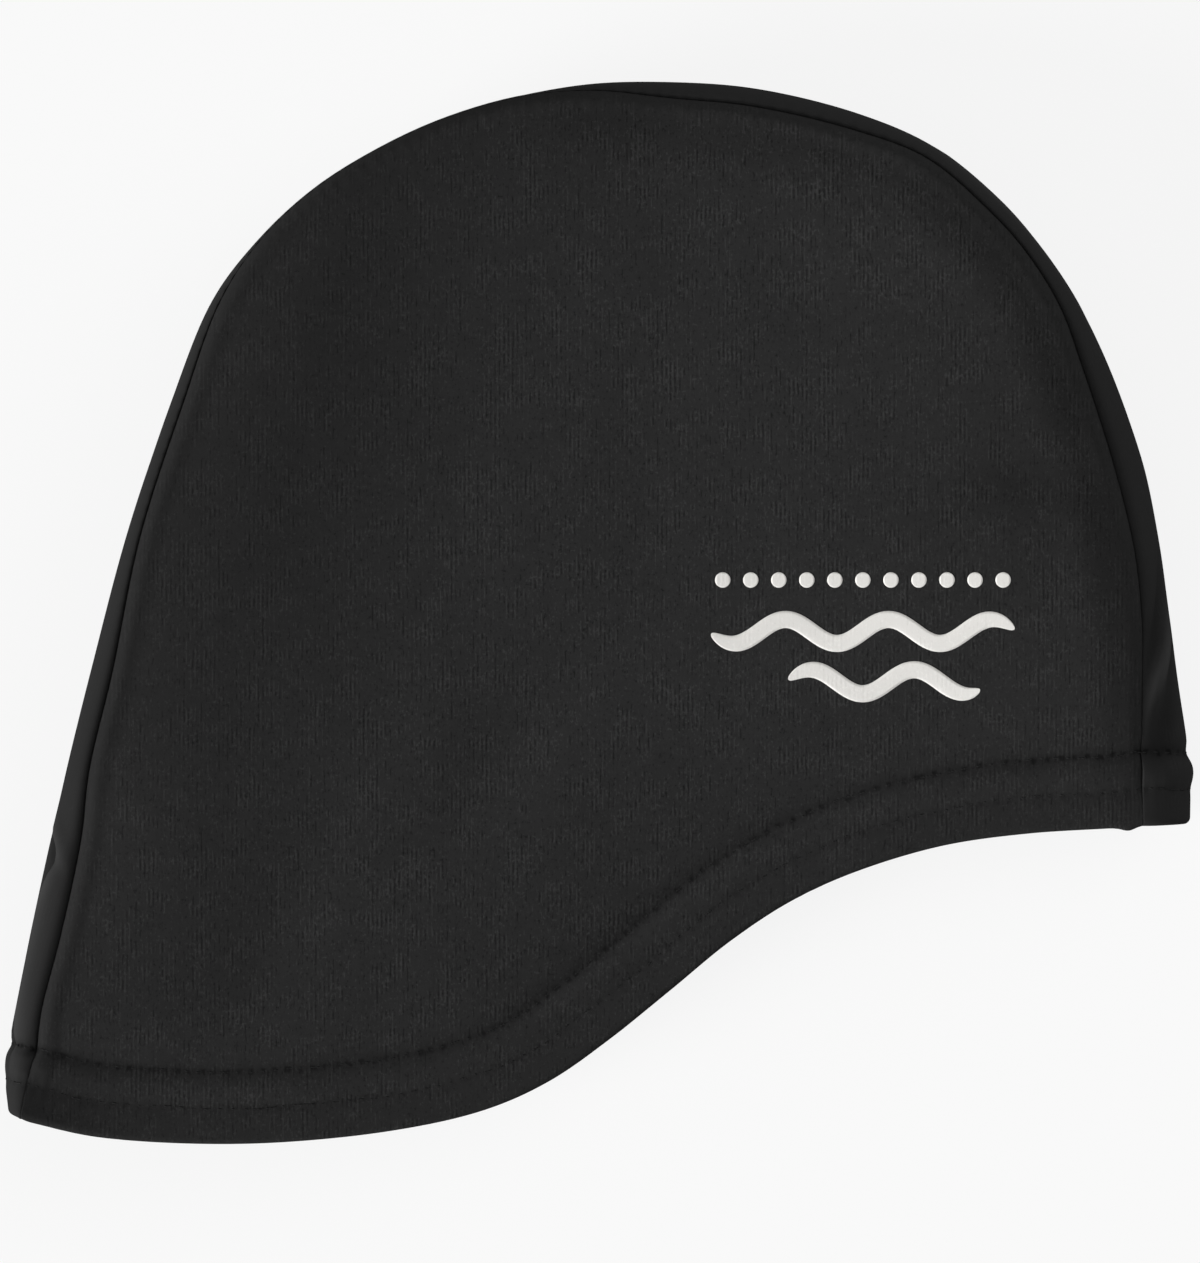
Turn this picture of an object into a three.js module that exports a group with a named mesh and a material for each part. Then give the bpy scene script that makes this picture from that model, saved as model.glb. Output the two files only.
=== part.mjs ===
// A fabric swim cap, made of two side panels and a centre strip of stretch knit. It lies on its
// left side: the forehead points to +X, the crown to +Y and the head opening to -Y. Units are mm.
import * as THREE from 'three';

// Driving dimensions of the cap as it lies
const CAP_LENGTH = 208; // forehead to nape
const CAP_HEIGHT = 185.6; // rim to crown
const STRIP_WIDTH = 26; // centre strip, from seam to seam over its curve
const STRIP_SHOW = 9; // the widest band of strip that shows beside the upper panel
const STRIP_TUCK = 4.5; // how far the lower seam lies inside the upper one where no strip shows
const CROWN_RISE = 4.2; // how far the upper panel swells above its seams
const SEAM_LIFT = 1.6; // the lower seam's height over the floor
const LIFT_REACH = 9; // width of the edge of the lower panel that lifts off the floor
const RIM_INSET = 2; // how far the lower rim lies behind the upper one
const MOUTH_SAG = 0.34; // how far the upper rim sinks in its middle, as a share of its ends' height

// Cloth, hem and seams
const CLOTH = 1.2; // one layer of knit
const HEM_DEPTH = 12.8; // from the folded edge to the upper row of stitches
const STITCH_GAUGE = 6.4; // between the two rows of stitches
const STITCH_SINK = 0.35; // how deep each row of stitches pulls either side of the hem in
const SEAM_STEP = 0.5; // how far the strip's edges lie below the panels'
const SEAM_GAP = 0.35; // clearance between two pieces along a seam

// Width of the band along each side of the upper panel in which it rolls down to its edge
const ROLL = { front: 11, back: 22, top: 14, rim: 52 };

// How finely the cloth is divided
const COLUMNS = 36;
const BODY_ROWS = 14;
const STRIP_ROWS = 8;
const CURVE_SAMPLES = 3000;
const CLOSE_ENOUGH = 1e-4;

// The upper seam, from the front of the rim over the crown to the back of the rim. The columns
// are shares: x of the cap's length, y of its height, show of the widest band of strip.
const SEAM = [
  { x: 0.4593, y: -0.1985, show: 0.92 },
  { x: 0.4585, y: -0.172, show: 0.94 },
  { x: 0.458, y: -0.129, show: 0.91 },
  { x: 0.458, y: -0.065, show: 0.72 },
  { x: 0.458, y: -0.010, show: 0.58 },
  { x: 0.452, y: 0.059, show: 0.55 },
  { x: 0.435, y: 0.140, show: 0.58 },
  { x: 0.409, y: 0.232, show: 0.48 },
  { x: 0.389, y: 0.2928, show: 0.33 },
  { x: 0.3604, y: 0.3442, show: 0.27 },
  { x: 0.3285, y: 0.3838, show: 0.28 },
  { x: 0.2768, y: 0.4324, show: 0.25 },
  { x: 0.215, y: 0.459, show: 0.32 },
  { x: 0.131, y: 0.481, show: 0.34 },
  { x: 0.061, y: 0.489, show: 0.30 },
  { x: -0.004, y: 0.496, show: 0.12 },
  { x: -0.062, y: 0.4908, show: 0.00 },
  { x: -0.126, y: 0.4708, show: 0.00 },
  { x: -0.183, y: 0.442, show: 0.00 },
  { x: -0.240, y: 0.402, show: 0.00 },
  { x: -0.286, y: 0.353, show: 0.02 },
  { x: -0.319, y: 0.296, show: 0.13 },
  { x: -0.350, y: 0.200, show: 0.22 },
  { x: -0.386, y: 0.075, show: 0.25 },
  { x: -0.410, y: -0.055, show: 0.40 },
  { x: -0.429, y: -0.145, show: 0.42 },
  { x: -0.436, y: -0.210, show: 0.56 },
  { x: -0.453, y: -0.300, show: 0.57 },
  { x: -0.469, y: -0.370, show: 0.49 },
  { x: -0.474, y: -0.408, show: 0.52 },
  { x: -0.480, y: -0.438, show: 0.45 },
  { x: -0.486, y: -0.474, show: 0.24 },
];

// The upper panel's rim between the seam's two ends, from back to front. The columns are shares
// of the cap's length and height.
const RIM = [
  { x: -0.420, y: -0.492 },
  { x: -0.293, y: -0.499 },
  { x: -0.167, y: -0.486 },
  { x: -0.091, y: -0.466 },
  { x: -0.040, y: -0.440 },
  { x: 0.010, y: -0.401 },
  { x: 0.061, y: -0.355 },
  { x: 0.111, y: -0.309 },
  { x: 0.162, y: -0.271 },
  { x: 0.212, y: -0.245 },
  { x: 0.288, y: -0.2188 },
  { x: 0.364, y: -0.2065 },
  { x: 0.431, y: -0.2015 },
];

// Where the upper panel's outline turns from its front to its top and from its top to its back,
// as shares of the seam's length
const SHOULDER = { front: 0.26, back: 0.63 };

// Share of the rim's length, at either end, in which the hem turns to meet the seam
const HEM_BEND = 0.22;

// Soft valleys in the upper panel. The centre is in shares of the cap's length and height, turn
// is in degrees from +X, and long, wide and deep are in mm.
const PANEL_FOLDS = [
  { name: 'temple', x: 0.385, y: 0.133, turn: 8, long: 13, wide: 5, deep: 1.1 },
  { name: 'ear', x: -0.087, y: -0.141, turn: 45, long: 22, wide: 8, deep: 1.3 },
  { name: 'nape', x: -0.255, y: -0.270, turn: 62, long: 26, wide: 9, deep: 0.9 },
  { name: 'brow', x: 0.250, y: -0.105, turn: 28, long: 24, wide: 8, deep: 0.8 },
];

// Creases in the strip: along is a share of the seam's length, across of the strip's width from
// its lower seam, and the other columns are as above.
const STRIP_CREASES = [
  { name: 'nape upper', along: 0.862, across: 0.72, turn: 38, long: 7, wide: 1.8, deep: 0.8 },
  { name: 'nape lower', along: 0.884, across: 0.66, turn: -32, long: 8, wide: 1.8, deep: 0.8 },
  { name: 'back', along: 0.955, across: 0.60, turn: 15, long: 9, wide: 2.4, deep: 0.6 },
  { name: 'forehead', along: 0.120, across: 0.55, turn: -12, long: 14, wide: 2.6, deep: 0.6 },
];

// Rows of the hem, from its folded edge up to where one layer goes on. Each has its distance
// from the edge, how far its outer face is pulled in, and the wall there.
const FOLD_ROUND = CLOTH;
const LOWER_STITCH = HEM_DEPTH - STITCH_GAUGE;
const PINCHED = 2 * (CLOTH - STITCH_SINK);
const HEM = [
  { reach: FOLD_ROUND / 2, sink: CLOTH / 2, wall: CLOTH },
  { reach: FOLD_ROUND, sink: 0, wall: 2 * CLOTH },
  { reach: (FOLD_ROUND + LOWER_STITCH) / 2, sink: 0, wall: 2 * CLOTH },
  { reach: LOWER_STITCH, sink: STITCH_SINK, wall: PINCHED },
  { reach: HEM_DEPTH - STITCH_GAUGE / 2, sink: 0, wall: 2 * CLOTH },
  { reach: HEM_DEPTH, sink: STITCH_SINK, wall: PINCHED },
  { reach: HEM_DEPTH + CLOTH, sink: 0, wall: CLOTH },
];
const HEM_TOP = HEM.length - 1;
const ROWS = HEM_TOP + BODY_ROWS;

const lerp = THREE.MathUtils.lerp;

// Rises from 0 at the edge to 1 at the end of a roll, and is level there
function bank(share) {
  return share < 1 ? 1 - (1 - share) ** 2 : 1;
}

// Depth of one fold at a place that is (dx, dy) mm from its centre
function foldDepth(fold, dx, dy) {
  const turn = THREE.MathUtils.degToRad(fold.turn);
  const along = (dx * Math.cos(turn) + dy * Math.sin(turn)) / fold.long;
  const across = (dy * Math.cos(turn) - dx * Math.sin(turn)) / fold.wide;
  return fold.deep * Math.exp(-along * along - across * across);
}

// Length of a quarter of an ellipse
function quarter(a, b) {
  return (Math.PI / 4) * (3 * (a + b) - Math.sqrt((3 * a + b) * (a + 3 * b)));
}

// How far the lower seam is tucked under where the strip shows by this much
function tuckFor(show) {
  return STRIP_TUCK * (1 - show / STRIP_SHOW);
}

// Height between the two seams that lets the strip keep its width
function standingHeight(show) {
  let low = 0;
  let high = STRIP_WIDTH;
  while (high - low > CLOSE_ENOUGH) {
    const half = (low + high) / 4;
    const width = quarter(show, half) + quarter(show + tuckFor(show), half);
    if (width < STRIP_WIDTH) low = 2 * half;
    else high = 2 * half;
  }
  return low;
}

// The seam in plan. Its third coordinate carries how far the strip shows.
function seamCurve() {
  const points = SEAM.map(
    (row) => new THREE.Vector3(row.x * CAP_LENGTH, row.y * CAP_HEIGHT, row.show * STRIP_SHOW),
  );
  const curve = new THREE.CatmullRomCurve3(points);
  curve.arcLengthDivisions = CURVE_SAMPLES;
  return curve;
}

// One station of the seam: its upper and lower points, and which way is outwards
function stationAt(curve, share) {
  const place = curve.getPointAt(share);
  const show = Math.max(place.z, 0);
  const tangent = curve.getTangentAt(share).setZ(0).normalize();
  const outward = new THREE.Vector3(tangent.y, -tangent.x, 0);
  const upper = place.clone().setZ(SEAM_LIFT + standingHeight(show));
  const lower = place.clone().addScaledVector(outward, -tuckFor(show)).setZ(SEAM_LIFT);
  return { share, show, outward, upper, lower };
}

// Stations of the seam's front, top and back, which both panels and the strip share
function seamStations() {
  const curve = seamCurve();
  const length = curve.getLength();
  const front = [];
  const back = [];
  for (let j = 0; j <= ROWS; j++) {
    const hemShare = HEM[Math.min(j, HEM_TOP)].reach / length;
    const body = Math.max(0, (j - HEM_TOP) / BODY_ROWS);
    front.push(stationAt(curve, lerp(hemShare, SHOULDER.front, body)));
    back.push(stationAt(curve, lerp(1 - hemShare, SHOULDER.back, body)));
  }
  const top = [];
  for (let i = 0; i <= COLUMNS; i++) {
    top.push(stationAt(curve, lerp(SHOULDER.back, SHOULDER.front, i / COLUMNS)));
  }
  const ends = { front: stationAt(curve, 0), back: stationAt(curve, 1) };
  return { front, back, top, ends, length };
}

// The upper rim, from back to front, sinking in its middle
function upperRim(back, front) {
  const inner = RIM.map((row) => new THREE.Vector3(row.x * CAP_LENGTH, row.y * CAP_HEIGHT, 0));
  const ends = [back.clone().setZ(0), front.clone().setZ(0)];
  const curve = new THREE.CatmullRomCurve3([ends[0], ...inner, ends[1]]);
  curve.arcLengthDivisions = CURVE_SAMPLES;
  const rim = [];
  for (let i = 0; i <= COLUMNS; i++) {
    const u = i / COLUMNS;
    const sag = 1 - MOUTH_SAG * Math.sin(Math.PI * u);
    rim.push(curve.getPointAt(u).setZ(lerp(back.z, front.z, u) * sag));
  }
  return rim;
}

// Directions into the cap in plan, square to the rim
function inwardFrom(rim) {
  return rim.map((point, i) => {
    const before = rim[Math.max(i - 1, 0)];
    const after = rim[Math.min(i + 1, COLUMNS)];
    const along = after.clone().sub(before).setZ(0).normalize();
    return new THREE.Vector3(-along.y, along.x, 0);
  });
}

// The lower rim keeps to the upper one in plan, a little behind it, and ends on the lower seam
function lowerRim(rim, back, front) {
  const inward = inwardFrom(rim);
  const last = rim[COLUMNS];
  return rim.map((point, i) => {
    const u = i / COLUMNS;
    const shift = back.clone().sub(rim[0]).multiplyScalar(1 - u);
    shift.addScaledVector(front.clone().sub(last), u);
    shift.addScaledVector(inward[i], RIM_INSET * Math.sin(Math.PI * u));
    return point.clone().add(shift);
  });
}

// One row of the hem: it runs beside the rim and bends at its ends to meet the seam
function hemRow(rim, inward, start, end, reach) {
  const place = (i) => rim[i].clone().addScaledVector(inward[i], reach);
  const startShift = start.clone().sub(place(0));
  const endShift = end.clone().sub(place(COLUMNS));
  return rim.map((point, i) => {
    const u = i / COLUMNS;
    const row = place(i).addScaledVector(startShift, 1 - bank(u / HEM_BEND));
    return row.addScaledVector(endShift, 1 - bank((1 - u) / HEM_BEND));
  });
}

// A patch filled in between its four sides
function filledPatch(bottom, top, left, right, rows) {
  const grid = [];
  for (let j = 1; j <= rows; j++) {
    const v = j / rows;
    const row = bottom.map((point, i) => {
      const u = i / COLUMNS;
      const between = point.clone().multiplyScalar(1 - v).addScaledVector(top[i], v);
      between.addScaledVector(left[j], 1 - u).addScaledVector(right[j], u);
      between.addScaledVector(bottom[0], -(1 - u) * (1 - v));
      between.addScaledVector(bottom[COLUMNS], -u * (1 - v));
      between.addScaledVector(top[0], -(1 - u) * v);
      return between.addScaledVector(top[COLUMNS], -u * v);
    });
    grid.push(row);
  }
  return grid;
}

// All points of one panel, row by row from its rim to its top and column by column from back to
// front
function panelPoints(rim, back, front, top) {
  const inward = inwardFrom(rim);
  const hem = HEM.map((row, j) => hemRow(rim, inward, back[j], front[j], row.reach));
  const body = filledPatch(hem[HEM_TOP], top, back.slice(HEM_TOP), front.slice(HEM_TOP), BODY_ROWS);
  return [...hem, ...body];
}

// Distances in plan from each point of a panel to its four sides
function distancesToSides(points) {
  const flat = (a, b) => Math.hypot(a.x - b.x, a.y - b.y);
  const sides = points.map((row) => row.map(() => ({ back: 0, front: 0, rim: 0, top: 0 })));
  for (let j = 0; j <= ROWS; j++) {
    for (let i = 1; i <= COLUMNS; i++) {
      sides[j][i].back = sides[j][i - 1].back + flat(points[j][i], points[j][i - 1]);
    }
    for (let i = 0; i <= COLUMNS; i++) {
      sides[j][i].front = sides[j][COLUMNS].back - sides[j][i].back;
      if (j > 0) sides[j][i].rim = sides[j - 1][i].rim + flat(points[j][i], points[j - 1][i]);
    }
  }
  for (const row of sides) {
    row.forEach((place, i) => { place.top = sides[ROWS][i].rim - place.rim; });
  }
  return sides;
}

// The upper panel swells above its seams and sinks into its folds
function swell(points) {
  const sides = distancesToSides(points);
  points.forEach((row, j) => row.forEach((point, i) => {
    const to = sides[j][i];
    const level = bank(to.back / ROLL.back) * bank(to.front / ROLL.front) * bank(to.top / ROLL.top);
    point.z += CROWN_RISE * level * bank(to.rim / ROLL.rim);
    for (const fold of PANEL_FOLDS) {
      const dx = point.x - fold.x * CAP_LENGTH;
      const dy = point.y - fold.y * CAP_HEIGHT;
      point.z -= level * foldDepth(fold, dx, dy);
    }
  }));
}

// The lower panel lies flat on the floor and lifts only towards its seams
function layFlat(points) {
  const sides = distancesToSides(points);
  points.forEach((row, j) => row.forEach((point, i) => {
    const to = sides[j][i];
    const flat = bank(to.back / LIFT_REACH) * bank(to.front / LIFT_REACH) * bank(to.top / LIFT_REACH);
    point.z = SEAM_LIFT * (1 - flat);
  }));
}

// The strip's section at one station, evenly spaced from the lower seam to the upper one. It is
// two quarters of ellipses, in distances outwards and up.
function sectionPoints(station) {
  const half = (station.upper.z - station.lower.z) / 2;
  const middle = station.lower.z + half;
  const tuck = tuckFor(station.show);
  const section = new THREE.CurvePath();
  section.add(new THREE.EllipseCurve(-tuck, middle, station.show + tuck, half, -Math.PI / 2, 0));
  section.add(new THREE.EllipseCurve(0, middle, station.show, half, 0, Math.PI / 2));
  return section.getSpacedPoints(STRIP_ROWS).map(({ x: out, y: height }) => {
    return station.upper.clone().addScaledVector(station.outward, out).setZ(height);
  });
}

// Presses the creases into the strip
function creaseStrip(points, stations, seamLength) {
  points.forEach((row, j) => row.forEach((point, k) => {
    const across = j / STRIP_ROWS;
    const clearOfSeams = 4 * across * (1 - across);
    for (const crease of STRIP_CREASES) {
      const dx = (stations[k].share - crease.along) * seamLength;
      const dy = (across - crease.across) * STRIP_WIDTH;
      const depth = clearOfSeams * foldDepth(crease, dx, dy);
      point.addScaledVector(stations[k].outward, -depth);
    }
  }));
}

// All points of the strip, row by row from the lower seam to the upper one
function stripPoints(stations, seamLength) {
  const sections = stations.map(sectionPoints);
  const points = [];
  for (let j = 0; j <= STRIP_ROWS; j++) points.push(sections.map((section) => section[j]));
  creaseStrip(points, stations, seamLength);
  return points;
}

// Outward normals of a grid of points, from their neighbours
function gridNormals(points, facing) {
  return points.map((row, j) => row.map((point, i) => {
    const left = row[Math.max(i - 1, 0)];
    const right = row[Math.min(i + 1, row.length - 1)];
    const below = points[Math.max(j - 1, 0)][i];
    const above = points[Math.min(j + 1, points.length - 1)][i];
    const along = right.clone().sub(left);
    return along.cross(above.clone().sub(below)).normalize().multiplyScalar(facing);
  }));
}

// The places of a panel's edge along the seam, from the front of the rim over the top to the back
function seamPlaces() {
  const places = [];
  for (let j = 0; j <= ROWS; j++) places.push([j, COLUMNS]);
  for (let i = COLUMNS - 1; i > 0; i--) places.push([ROWS, i]);
  for (let j = ROWS; j >= 0; j--) places.push([j, 0]);
  return places;
}

// Gives the two pieces of a seam one normal, and draws their edges back to leave the clearance
function dressSeam(panel, panelEdge, strip, stripEdge) {
  const seam = panelEdge.map(([j, i]) => panel.points[j][i].clone());
  panelEdge.forEach(([j, i], k) => {
    const [sj, si] = stripEdge[k];
    const normal = panel.normals[j][i].clone().add(strip.normals[sj][si]).normalize();
    const before = seam[Math.max(k - 1, 0)];
    const after = seam[Math.min(k + 1, seam.length - 1)];
    const down = after.clone().sub(before).cross(normal).normalize();
    const fromPanel = panel.facing * SEAM_GAP / 2;
    panel.points[j][i].addScaledVector(down, -fromPanel);
    strip.points[sj][si].addScaledVector(down, fromPanel);
    panel.normals[j][i].copy(normal);
    strip.normals[sj][si].copy(normal);
  });
}

// Turns a piece's points into its outer, middle and inner faces. The middle ones close its edges,
// and stand out at a folded edge to round it.
function wallOf(piece) {
  const { points, normals, finish, neighbour } = piece;
  return points.map((row, j) => row.map((point, i) => {
    const { sink, wall } = finish(j, i);
    const outer = point.clone().addScaledVector(normals[j][i], -sink);
    const inner = outer.clone().addScaledVector(normals[j][i], -wall);
    const middle = outer.clone().lerp(inner, 0.5);
    const next = neighbour(j, i);
    if (next) {
      const outwards = point.clone().sub(next).normalize();
      middle.addScaledVector(outwards, FOLD_ROUND / 2);
    }
    return { outer, middle, inner };
  }));
}

// The places round a grid's edge, turning the same way as its faces
function edgePlaces(rows, columns) {
  const places = [];
  for (let i = 0; i < columns; i++) places.push([0, i]);
  for (let j = 0; j < rows; j++) places.push([j, columns]);
  for (let i = columns; i > 0; i--) places.push([rows, i]);
  for (let j = rows; j > 0; j--) places.push([j, 0]);
  return places;
}

// Closes a wall's faces into one solid. Only the middle points round its edge are used.
function clothGeometry(wall) {
  const rows = wall.length - 1;
  const columns = wall[0].length - 1;
  const layer = (rows + 1) * (columns + 1);
  const at = (j, i) => j * (columns + 1) + i;
  const positions = [];
  for (const side of ['outer', 'middle', 'inner']) {
    for (const row of wall) for (const place of row) positions.push(...place[side].toArray());
  }
  const faces = [];
  const addQuad = (a, b, c, d) => faces.push(a, b, c, a, c, d);
  for (let j = 0; j < rows; j++) {
    for (let i = 0; i < columns; i++) {
      const [a, b, c, d] = [at(j, i), at(j, i + 1), at(j + 1, i + 1), at(j + 1, i)];
      addQuad(a, b, c, d);
      addQuad(d + 2 * layer, c + 2 * layer, b + 2 * layer, a + 2 * layer);
    }
  }
  const edge = edgePlaces(rows, columns);
  edge.forEach(([j, i], k) => {
    const [nextJ, nextI] = edge[(k + 1) % edge.length];
    const a = at(j, i);
    const b = at(nextJ, nextI);
    addQuad(b, a, a + layer, b + layer);
    addQuad(b + layer, a + layer, a + 2 * layer, b + 2 * layer);
  });
  const geometry = new THREE.BufferGeometry();
  geometry.setAttribute('position', new THREE.Float32BufferAttribute(positions, 3));
  geometry.setIndex(faces);
  return geometry.toNonIndexed();
}

function clothMesh(name, piece, colour) {
  const wall = wallOf(piece);
  if (piece.facing < 0) wall.forEach((row) => row.reverse());
  const material = new THREE.MeshStandardMaterial({ color: colour, roughness: 0.88, metalness: 0 });
  const mesh = new THREE.Mesh(clothGeometry(wall), material);
  mesh.name = name;
  return mesh;
}

// A panel, whose first rows are its hem
function panelPiece(points, facing) {
  const finish = (j) => HEM[Math.min(j, HEM_TOP)];
  const neighbour = (j, i) => (j === 0 ? points[1][i] : null);
  return { points, facing, finish, neighbour, normals: gridNormals(points, facing) };
}

// The strip, whose hem is at both ends and whose edges lie a step below the panels'
function stripPiece(points) {
  const last = points[0].length - 1;
  const finish = (j, i) => {
    const row = HEM[Math.min(i, last - i, HEM_TOP)];
    const step = j === 0 || j === STRIP_ROWS ? SEAM_STEP : 0;
    return { sink: row.sink + step, wall: row.wall };
  };
  const neighbour = (j, i) => {
    if (i === 0) return points[j][1];
    return i === last ? points[j][last - 1] : null;
  };
  return { points, facing: 1, finish, neighbour, normals: gridNormals(points, 1) };
}

function buildCap() {
  const { front, back, top, ends, length } = seamStations();
  const round = [...front, ...top.slice(1, -1).reverse(), ...back.slice().reverse()];
  const take = (stations, edge) => stations.map((station) => station[edge].clone());

  const rim = upperRim(ends.back.upper, ends.front.upper);
  const upper = panelPoints(rim, take(back, 'upper'), take(front, 'upper'), take(top, 'upper'));
  swell(upper);
  const rimBelow = lowerRim(rim, ends.back.lower, ends.front.lower);
  const lower = panelPoints(rimBelow, take(back, 'lower'), take(front, 'lower'), take(top, 'lower'));
  layFlat(lower);

  const right = panelPiece(upper, 1);
  const left = panelPiece(lower, -1);
  const strip = stripPiece(stripPoints(round, length));
  const panelEdge = seamPlaces();
  dressSeam(right, panelEdge, strip, panelEdge.map((place, k) => [STRIP_ROWS, k]));
  dressSeam(left, panelEdge, strip, panelEdge.map((place, k) => [0, k]));

  const cap = new THREE.Group();
  cap.add(clothMesh('side_panel_right', right, '#292929'));
  cap.add(clothMesh('side_panel_left', left, '#282828'));
  cap.add(clothMesh('centre_strip', strip, '#262627'));
  const box = new THREE.Box3().setFromObject(cap);
  const middle = box.getCenter(new THREE.Vector3());
  cap.position.set(-middle.x, -middle.y, -box.min.z);
  return cap;
}

export default buildCap();
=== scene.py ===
# A fabric swim cap lying on its left side, with the forehead towards +X, the crown towards +Y and
# the head opening towards -Y. Two side panels and a centre strip of black stretch knit are sewn
# together, and the whole opening is turned and double-stitched. Units are metres.
import math

import bmesh
import bpy
import numpy as np
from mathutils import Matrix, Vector, noise
from mathutils.bvhtree import BVHTree
from mathutils.kdtree import KDTree


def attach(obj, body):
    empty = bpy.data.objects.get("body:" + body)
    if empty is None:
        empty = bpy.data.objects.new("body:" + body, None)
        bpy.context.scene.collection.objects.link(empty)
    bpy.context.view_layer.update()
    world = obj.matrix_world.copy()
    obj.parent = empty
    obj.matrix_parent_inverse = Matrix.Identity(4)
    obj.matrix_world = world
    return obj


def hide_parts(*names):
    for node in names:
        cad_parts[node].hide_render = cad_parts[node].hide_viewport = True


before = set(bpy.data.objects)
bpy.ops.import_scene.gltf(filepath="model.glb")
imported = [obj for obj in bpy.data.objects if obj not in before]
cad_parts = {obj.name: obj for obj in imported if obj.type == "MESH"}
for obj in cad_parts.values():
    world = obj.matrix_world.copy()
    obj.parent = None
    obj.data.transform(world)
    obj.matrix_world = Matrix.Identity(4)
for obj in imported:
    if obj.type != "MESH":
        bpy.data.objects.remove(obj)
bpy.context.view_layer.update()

# The centre strip. One long piece of black stretch knit, 26 mm wide between its two seams, that
# runs from the forehead over the crown to the nape. The seams pull its edges down, and both of
# its ends are turned in and stitched with the rest of the opening.
CAP_LENGTH = 0.208
CAP_HEIGHT = 0.1856
CAP_SHIFT = np.array([-0.0001136, -0.0005042, 0])  # brings the middle of the cap to the origin
CLOTH = 0.0012
STRIP_WIDTH = 0.026
STRIP_SHOW = 0.009  # the widest band of strip that shows beside the upper panel
STRIP_TUCK = 0.0045  # how far the lower seam lies inside the upper one where no strip shows
SEAM_LIFT = 0.0016  # height of the lower seam above the floor
SEAM_GAP = 0.00002
UPPER_LEAN, LOWER_LEAN = 0.3, 0.18  # how far the cloth's face leans outwards at each seam
FACE_TURN = 0.003  # beside a seam, where the cloth's face turns to that lean
SEAM_FINE = 0.00028  # between rows or columns beside a seam
FINE_COUNT = 16
FINE_BAND = FINE_COUNT * SEAM_FINE
STRIP_STEP = 0.00055
FRONT_SHOULDER = 0.26
BACK_SHOULDER = 0.63
BODY_ROWS = 108
TOP_STEP = 0.00062
HEM_DEPTH = 0.0128
STITCH_GAUGE = 0.0064
STITCH_PITCH = 0.0023
LOWER_STITCH = HEM_DEPTH - STITCH_GAUGE
HEM_END = HEM_DEPTH + CLOTH
STITCH_CHANNELS = (  # distance from the rim, depth, width
    (LOWER_STITCH, 0.00018, 0.0013), (HEM_DEPTH, 0.00055, 0.0015))
PUCKER_HEIGHT, PUCKER_WIDTH = 0.00006, 0.0024
HEM_SWELL, SWELL_WIDTH = 0.00022, 0.0021  # between the two rows of stitches
HEM_HOLD = 0.06  # the share of a seam's pull that is left in the hem
FRONT_BULGE = (0.0005, 0.0093, 0.0036)  # height, distance from the front rim, width
GROOVE_DEPTH = 0.0009
GROOVE_WIDTH = 0.0013
SCALLOP_PITCH = 0.0027
EASY_SEAM = (0.08, 0.24), (0.35, 1)  # shares of the seam, and how hard it pulls there
CREASE_FADE = 0.16, 0.0025  # share of the width before the silhouette, and distance from the seams
SEAM_TABLE = (  # shares of length, height and STRIP_SHOW, from the front rim to the back rim
    (0.4593, -0.1985, 0.92), (0.4585, -0.172, 0.94), (0.458, -0.129, 0.91), (0.458, -0.065, 0.72),
    (0.458, -0.010, 0.57), (0.452, 0.059, 0.51), (0.435, 0.140, 0.56), (0.409, 0.232, 0.48),
    (0.389, 0.2928, 0.33), (0.3604, 0.3442, 0.27), (0.3285, 0.3838, 0.28), (0.2768, 0.4324, 0.25),
    (0.215, 0.459, 0.32), (0.131, 0.481, 0.34), (0.061, 0.489, 0.30), (-0.004, 0.496, 0.12),
    (-0.062, 0.4908, 0.00), (-0.126, 0.4708, 0.00), (-0.183, 0.442, 0.00), (-0.240, 0.402, 0.00),
    (-0.286, 0.353, 0.02), (-0.319, 0.296, 0.13), (-0.350, 0.200, 0.22), (-0.386, 0.075, 0.25),
    (-0.410, -0.055, 0.40), (-0.429, -0.145, 0.42), (-0.436, -0.210, 0.56), (-0.453, -0.300, 0.57),
    (-0.469, -0.370, 0.49), (-0.474, -0.408, 0.52), (-0.480, -0.438, 0.45), (-0.486, -0.474, 0.24),
)
STRIP_CREASES = (  # share of the seam, share of the width, turn in degrees, length, width, depth
    (0.8790, 0.755, 43, 0.0056, 0.0015, -0.0012),
    (0.8790, 0.655, 43, 0.0060, 0.0018, 0.0013),
    (0.8975, 0.815, -19, 0.0048, 0.0014, -0.0010),
    (0.8975, 0.715, -19, 0.0054, 0.0017, 0.0012),
    (0.9180, 0.770, 2, 0.0090, 0.0022, -0.0007),
    (0.9560, 0.800, 6, 0.0080, 0.0022, -0.0010),
    (0.9560, 0.680, 6, 0.0080, 0.0022, 0.0009),
    (0.0740, 0.790, -21, 0.0090, 0.0022, -0.0012),
    (0.0850, 0.860, -21, 0.0120, 0.0020, 0.0012),
    (0.0800, 0.660, -21, 0.0110, 0.0022, 0.0010),
    (0.0440, 0.800, -24, 0.0080, 0.0030, 0.0010),
    (0.2660, 0.760, 3, 0.0170, 0.0018, -0.0009),
    (0.1500, 0.300, 30, 0.0110, 0.0030, 0.0008),
    (0.7400, 0.280, -24, 0.0130, 0.0034, 0.0008),
)


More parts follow.
